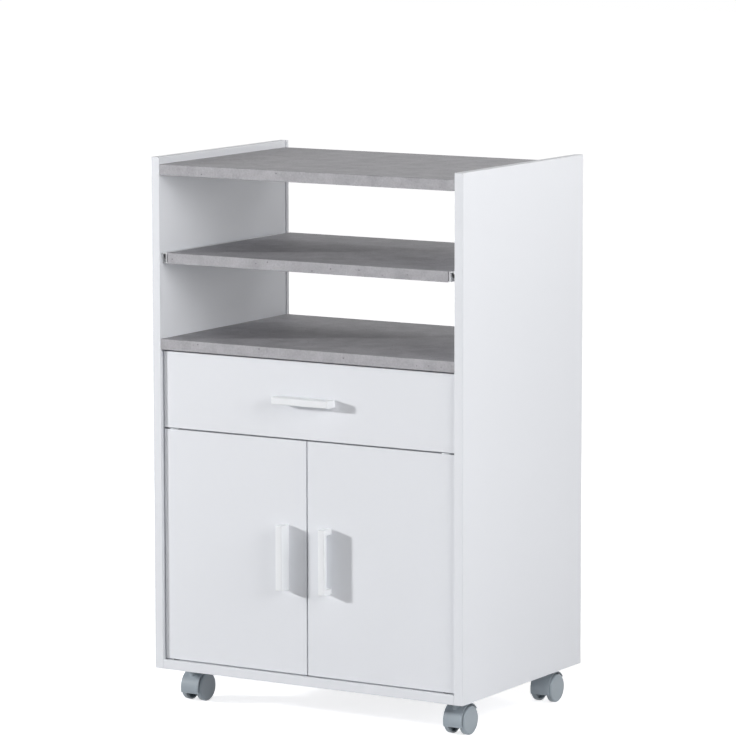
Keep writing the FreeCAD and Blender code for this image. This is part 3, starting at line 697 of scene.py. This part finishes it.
# ---------------------------------------------------------------- sub-assemblies
@dataclass
class Screws:
    """The screws of one body, driven where the construction model has them."""

    node: str
    body: str
    tree: bpy.types.NodeTree
    slot: str = "zinc_steel"
    recess_share: float = 0.28  # of the head's radius
    depth_share: float = 0.6  # of the head's height
    rim_share: float = 0.9  # of the head's radius, past which a corner is on its rim
    weld_mm: float = 0.001
    level_mm: float = 0.01  # corners this near the tip are on it

    def islands(self) -> list[list[Vector]]:
        """Split the node's mesh into its separate solids.

        Returns:
            The corner points of each.
        """
        welded = bmesh.new()
        welded.from_mesh(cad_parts[self.node].data)
        bmesh.ops.remove_doubles(welded, verts=welded.verts, dist=self.weld_mm * MM)
        welded.verts.ensure_lookup_table()
        seen: set[int] = set()
        groups = []
        for start in welded.verts:
            if start.index in seen:
                continue
            group, queue = [], [start]
            seen.add(start.index)
            while queue:
                corner = queue.pop()
                group.append(corner.co.copy())
                for edge in corner.link_edges:
                    other = edge.other_vert(corner)
                    if other.index not in seen:
                        seen.add(other.index)
                        queue.append(other)
            groups.append(group)
        welded.free()
        return groups

    def measure(self, corners: list[Vector]) -> tuple[Vector, Vector, tuple[float, ...]]:
        """Read one screw's seat, way and sizes from its corners.

        Args:
            corners: Corner points of the solid.

        Returns:
            Seat, unit way from head to tip, and head radius, head height, shank
            radius and length in metres, rounded to a hundredth of a millimetre.
        """
        low = Vector([min(c[i] for c in corners) for i in range(3)])
        high = Vector([max(c[i] for c in corners) for i in range(3)])
        span = high - low
        axis = max(range(3), key=lambda i: span[i])
        middle = (low + high) / 2
        side = (axis + 1) % 3
        wide = span[side] / 2

        def radius(corner: Vector) -> float:
            """Distance of a corner from the screw's axis."""
            off = corner - middle
            off[axis] = 0
            return off.length

        rim = [c[axis] for c in corners if radius(c) > wide * self.rim_share]
        up = sum(rim) / len(rim) < middle[axis]
        way = Vector([0, 0, 0])
        way[axis] = 1.0 if up else -1.0
        seat = middle.copy()
        seat[axis] = max(rim) if up else min(rim)
        tip = high[axis] if up else low[axis]
        shank = max(radius(c) for c in corners if abs(c[axis] - tip) < self.level_mm * MM)
        sizes = (wide, max(rim) - min(rim), shank, abs(tip - seat[axis]))
        return seat, way, tuple(round(s, 5) for s in sizes)

    def build(self) -> list[bpy.types.Object]:
        """Grow a piece for each size of screw in the node and stand it on its seats.

        Returns:
            The pieces.
        """
        sets: dict[tuple[float, ...], list[tuple[Vector, Vector]]] = {}
        for corners in self.islands():
            seat, way, sizes = self.measure(corners)
            sets.setdefault(sizes, []).append((seat, way))
        pieces = []
        for index, (sizes, seats) in enumerate(sorted(sets.items(), key=lambda s: s[0])):
            name = f"driven_{self.node}_{index + 1}"
            head, height, shank, length = sizes
            values = {"Head Radius": head, "Head Height": height, "Shank Radius": shank,
                      "Length": length, "Recess Width": head * self.recess_share,
                      "Recess Depth": height * self.depth_share}
            base = point_mesh(name, [s for s, _ in seats], [w for _, w in seats])
            piece = grow(name, self.tree, base, values, material_of(ZINC))
            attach(piece, self.body)
            pieces.append(piece)
        for piece in pieces:
            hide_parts(self.node)
        LOG.info("%s: %d screws in %d sizes", self.node,
                 sum(len(s) for s in sets.values()), len(sets))
        return pieces


@dataclass
class Carcass:
    """Side panels, fixed boards, back panel and everything fixed to them."""

    white_boards: tuple[str, ...] = ("left_side_panel", "right_side_panel", "base_panel",
                                     "front_rail")
    grey_boards: tuple[str, ...] = ("top_shelf", "lower_shelf")
    runners: tuple[str, ...] = ("shelf_fixed_runners", "drawer_fixed_runners")
    steel: tuple[str, ...] = ("cam_bolts", "cam_locks", "door_pivot_plates", "door_pivot_pins",
                              "caster_plates", "caster_king_pins")

    def dress(self) -> None:
        """Give every fixed piece its finish."""
        for node in self.white_boards:
            banded(node, WHITE_BOARD)
        for node in self.grey_boards:
            banded(node, CEMENT_BOARD)
        dress("back_panel", HARDBOARD, Facing.REAR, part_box("back_panel")[1].y)
        for node in self.runners:
            dress(node, POWDER)
        for node in self.steel:
            dress(node, ZINC)
        dress("dowels", BEECH)
        dress("magnetic_catch", CATCH_PLASTIC)
        LOG.info("carcass: %d boards", len(self.white_boards) + len(self.grey_boards) + 1)


@dataclass
class Rollers:
    """The nylon rollers of both pairs of runners."""

    nodes: tuple[str, ...] = ("shelf_front_rollers", "shelf_rear_rollers",
                              "drawer_front_rollers", "drawer_rear_rollers")

    def dress(self) -> None:
        """Give the rollers their finish."""
        for node in self.nodes:
            # black rollers: painted shade inside the runner channels
            dress(node, SHADE_BLACK_NYLON)
        LOG.info("rollers: %d pairs", len(self.nodes))


@dataclass
class PullOutShelf:
    """The grey board that slides between the upper and the lower bay."""

    board: str = "pull_out_shelf"
    runners: str = "shelf_moving_runners"

    def dress(self) -> None:
        """Give the board and its runners their finishes."""
        banded(self.board, CEMENT_BOARD)
        dress(self.runners, POWDER)
        LOG.info("pull-out shelf")


@dataclass
class Drawer:
    """The drawer: front, box, handle and runners."""

    box: tuple[str, ...] = ("drawer_side_left", "drawer_side_right", "drawer_back")

    def dress(self) -> None:
        """Give the drawer's pieces their finishes."""
        banded("drawer_front", WHITE_BOARD)
        for node in self.box:
            dress(node, WHITE_BOARD)
        dress("drawer_bottom", HARDBOARD, Facing.DOWN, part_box("drawer_bottom")[0].z)
        dress("drawer_moving_runners", POWDER)
        dress("drawer_dowels", BEECH)
        dress("drawer_handle", HANDLE_PLASTIC)
        LOG.info("drawer")


@dataclass
class Door:
    """One door with its handle, bushes and strike plate."""

    hand: Hand

    def dress(self) -> None:
        """Give the door's pieces their finishes."""
        leaf = f"{self.hand.value}_door"
        banded(leaf, WHITE_BOARD)
        dress(leaf + "_handle", HANDLE_PLASTIC)
        # black bushes: painted shade in the pivot holes
        dress(leaf + "_pivot_bushes", SHADE_BLACK_NYLON)
        dress(leaf + "_strike_plate", ZINC)
        LOG.info("%s", leaf.replace("_", " "))


@dataclass
class Caster:
    """One swivel caster with two wheels."""

    end: End
    hand: Hand

    def dress(self) -> None:
        """Give the caster's pieces their finishes."""
        name = f"{self.end.value}_{self.hand.value}_caster"
        dress(name + "_hood", CASTER_PLASTIC)
        for side in Hand:
            dress(f"{name}_{side.value}_wheel", CASTER_PLASTIC)
        dress(name + "_axle", ZINC)
        LOG.info("%s", name.replace("_", " "))


# ---------------------------------------------------------------- studio
@dataclass(frozen=True)
class Softbox:
    """A square area light that looks at a point."""

    name: str
    place: tuple[float, float, float]
    side: float
    power: float
    colour: str = "#FFFFFF"
    target: tuple[float, float, float] = (0.0, 0.0, 0.5)

    def build(self) -> None:
        """Add the light."""
        lamp = bpy.data.lights.new(self.name, "AREA")
        lamp.shape = "SQUARE"
        lamp.size = self.side
        lamp.energy = self.power
        lamp.color = linear(self.colour)[:3]
        light = bpy.data.objects.new(self.name, lamp)
        light.location = self.place
        way = Vector(self.target) - Vector(self.place)
        light.rotation_euler = way.to_track_quat("-Z", "Y").to_euler()
        bpy.context.scene.collection.objects.link(light)


@dataclass
class Studio:
    """Floor, world, lights and camera."""

    floor_half: float = 20.0
    floor_colour: str = "#E6E6E8"
    near_glow: float = 0.72  # own light of the floor beside the cart, where the shadow shows
    far_glow: float = 1.0  # plain white
    near: float = 0.5  # metres from the middle
    far: float = 1.6
    ambient: float = 0.04
    ambient_colour: str = "#F2F4FA"
    eye: tuple[float, float, float] = (3.66102, -6.02841, 1.5307)
    yaw: float = 31.23613
    pitch: float = 7.77141
    roll: float = -0.08585
    lens: float = 209.07
    film_width: float = 36.0
    sight: float = 100.0  # metres that the camera sees
    lights: list[Softbox] = field(default_factory=lambda: [
        Softbox("key from the left", (-3.8, -2.35, 1.35), 0.3, 162.0),
        Softbox("side from the right", (2.1, -0.9, 1.3), 1.1, 28.0),
        Softbox("high right", (2.6, -3.6, 2.6), 1.6, 19.0),
        Softbox("rear right", (1.6, 3.2, 1.1), 1.2, 20.0),
        Softbox("rear above", (0.5, 2.6, 2.9), 1.5, 34.0)])

    def build_floor(self) -> bpy.types.Object:
        """Add the floor, which looks white and keeps the cart's shadow.

        Returns:
            The floor.
        """
        h = self.floor_half
        mesh = bpy.data.meshes.new("floor")
        mesh.from_pydata([(-h, -h, 0), (h, -h, 0), (h, h, 0), (-h, h, 0)], [], [(0, 1, 2, 3)])
        material, tree = shader_tree("studio floor paint")
        paint = add_node(tree, "ShaderNodeBsdfDiffuse", {"Color": linear(self.floor_colour)})
        away = add_node(tree, "ShaderNodeVectorMath", {"operation": "LENGTH"},
                        {0: place_of(tree)})
        rise = add_node(tree, "ShaderNodeMapRange",
                        {"From Min": self.near, "From Max": self.far, "To Min": self.near_glow,
                         "To Max": self.far_glow}, {"Value": away.outputs["Value"]})
        strength = add_node(tree, "ShaderNodeMath", {"operation": "MULTIPLY"},
                            {0: rise.outputs[0], 1: self.seen_directly(tree)})
        glow = add_node(tree, "ShaderNodeEmission", {"Color": linear("#FFFFFF")},
                        {"Strength": strength.outputs[0]})
        finish_tree(tree, add_node(tree, "ShaderNodeAddShader",
                                   links={0: paint.outputs[0], 1: glow.outputs[0]}))
        mesh.materials.append(material)
        floor = bpy.data.objects.new("floor", mesh)
        bpy.context.scene.collection.objects.link(floor)
        return floor

    def seen_directly(self, tree: bpy.types.NodeTree) -> bpy.types.NodeSocket:
        """Give 1 for camera, glossy and transmission rays and 0 for all others."""
        path = add_node(tree, "ShaderNodeLightPath")
        first = add_node(tree, "ShaderNodeMath", {"operation": "MAXIMUM"},
                         {0: path.outputs["Is Camera Ray"], 1: path.outputs["Is Glossy Ray"]})
        return add_node(tree, "ShaderNodeMath", {"operation": "MAXIMUM"},
                        {0: first.outputs[0],
                         1: path.outputs["Is Transmission Ray"]}).outputs[0]

    def build_world(self) -> None:
        """Make a white backdrop that lights the cart only a little."""
        world = bpy.data.worlds.new("studio")
        world.use_nodes = True
        tree = world.node_tree
        tree.nodes.clear()
        dim = add_node(tree, "ShaderNodeBackground", {"Color": linear(self.ambient_colour),
                                                      "Strength": self.ambient})
        white = add_node(tree, "ShaderNodeBackground", {"Color": linear("#FFFFFF"),
                                                        "Strength": 1.0})
        mixed = add_node(tree, "ShaderNodeMixShader",
                         links={0: self.seen_directly(tree), 1: dim.outputs[0],
                                2: white.outputs[0]})
        add_node(tree, "ShaderNodeOutputWorld", links={"Surface": mixed.outputs[0]})
        bpy.context.scene.world = world

    def build_camera(self) -> None:
        """Stand the camera where the photograph was taken from."""
        yaw, pitch, roll = (math.radians(a) for a in (self.yaw, self.pitch, self.roll))
        ahead = Vector((-math.sin(yaw) * math.cos(pitch), math.cos(yaw) * math.cos(pitch),
                        -math.sin(pitch)))
        level = Vector((math.cos(yaw), math.sin(yaw), 0))
        upright = level.cross(ahead)
        right = level * math.cos(roll) + upright * math.sin(roll)
        up = upright * math.cos(roll) - level * math.sin(roll)
        data = bpy.data.cameras.new("camera")
        data.lens = self.lens
        data.sensor_width = self.film_width
        data.clip_end = self.sight
        camera = bpy.data.objects.new("camera", data)
        turn = Matrix((right, up, -ahead)).transposed().to_4x4()
        camera.matrix_world = Matrix.Translation(self.eye) @ turn
        bpy.context.scene.collection.objects.link(camera)
        bpy.context.scene.camera = camera

    def build(self) -> None:
        """Set up the whole studio."""
        bpy.context.scene.view_settings.view_transform = "Standard"
        self.build_floor()
        self.build_world()
        for light in self.lights:
            light.build()
        self.build_camera()
        LOG.info("studio: %d lights", len(self.lights))


def main() -> None:
    """Build every sub-assembly in order, then the screws and the studio."""
    logging.basicConfig(level=logging.INFO, format="%(name)s: %(message)s")
    Carcass().dress()
    Rollers().dress()
    PullOutShelf().dress()
    Drawer().dress()
    for hand in Hand:
        Door(hand).dress()
    for end in End:
        for hand in Hand:
            Caster(end, hand).dress()
    tree = ScrewTree().build()
    for node, body in (("carcass_screws", "carcass"), ("shelf_runner_screws", "pull_out_shelf"),
                       ("drawer_screws", "drawer"), ("left_door_handle_screws", "left_door"),
                       ("right_door_handle_screws", "right_door")):
        Screws(node, body, tree).build()
    Studio().build()


if __name__ == "__main__":
    main()
